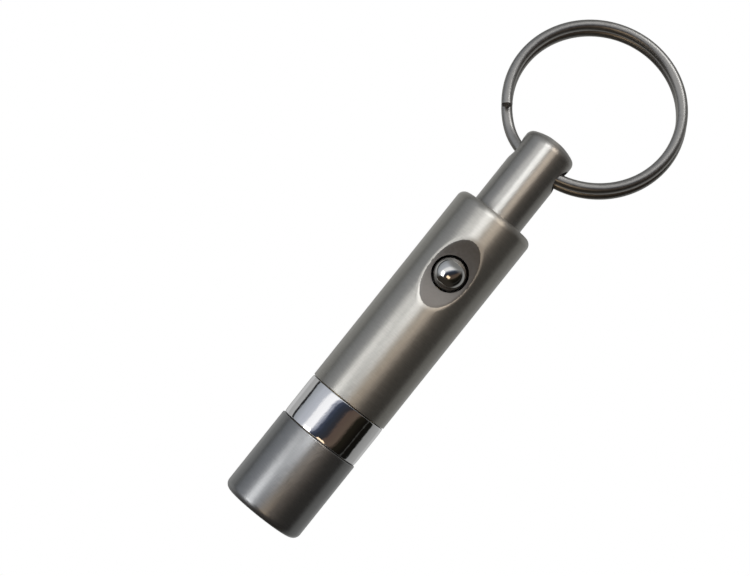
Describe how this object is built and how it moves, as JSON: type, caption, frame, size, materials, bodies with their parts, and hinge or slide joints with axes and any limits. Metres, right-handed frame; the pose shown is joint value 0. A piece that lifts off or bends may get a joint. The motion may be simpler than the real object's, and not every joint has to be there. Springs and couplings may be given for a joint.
{
  "type": "keychain cigar punch",
  "caption": "Pocket cigar punch: slim cylinder with a sprung tube blade in the nose, a press-down plunger, a release ball and a split key ring.",
  "frame": {"origin": "centre of the plunger's press face, with the plunger out and the blade retracted", "axes": "+Z along the body towards the key ring, -Y towards the release ball, +X to the right when the ball faces the viewer"},
  "size_m": [0.0305, 0.0184, 0.0988],
  "materials": {
    "satin_steel": "satin, brushed lengthwise",
    "dark_steel": "smooth gunmetal",
    "chrome": "mirror polished",
    "blade_steel": "polished",
    "spring_steel": "drawn wire and turned steel",
    "ring_nickel": "dark nickel plate, semi-gloss",
    "brass": "turned",
    "acetal": "turned black plastic"
  },
  "bodies": {
    "housing": {"barrel": "satin_steel", "accent_band": "chrome", "nose_cap": "dark_steel", "blade_guide": "acetal", "coupler": "brass", "spacer_sleeve": "brass", "latch_housing": "brass", "lower_washer": "spring_steel", "return_spring": "spring_steel", "button_spring": "spring_steel"},
    "plunger": {"plunger": "satin_steel", "push_rod": "spring_steel", "stop_clip": "spring_steel", "upper_washer": "spring_steel", "blade_carrier": "brass", "punch_blade": "blade_steel", "carrier_screw": "spring_steel"},
    "release": {"release_ball": "chrome", "latch_plate": "spring_steel", "latch_pin": "spring_steel"},
    "key_ring": {"split_ring": "ring_nickel"}
  },
  "joints": [
    {"name": "plunger_slide", "type": "slide", "parent": "housing", "child": "plunger", "axis": [0, 0, -1], "range_m": [0, 0.007], "stiffness_N_per_m": 300, "springref_m": -0.004, "deforming": ["return_spring"]},
    {"name": "release_press", "type": "slide", "parent": "housing", "child": "release", "axis": [0, 1, 0], "range_m": [0, 0.0009], "stiffness_N_per_m": 500, "springref_m": -0.001, "deforming": ["button_spring"]},
    {"name": "ring_swing", "type": "hinge", "parent": "plunger", "child": "key_ring", "pos_m": [0, 0, -0.0047], "axis": [0.9932, -0.1167, 0], "range_deg": [-140, 175]}
  ]
}
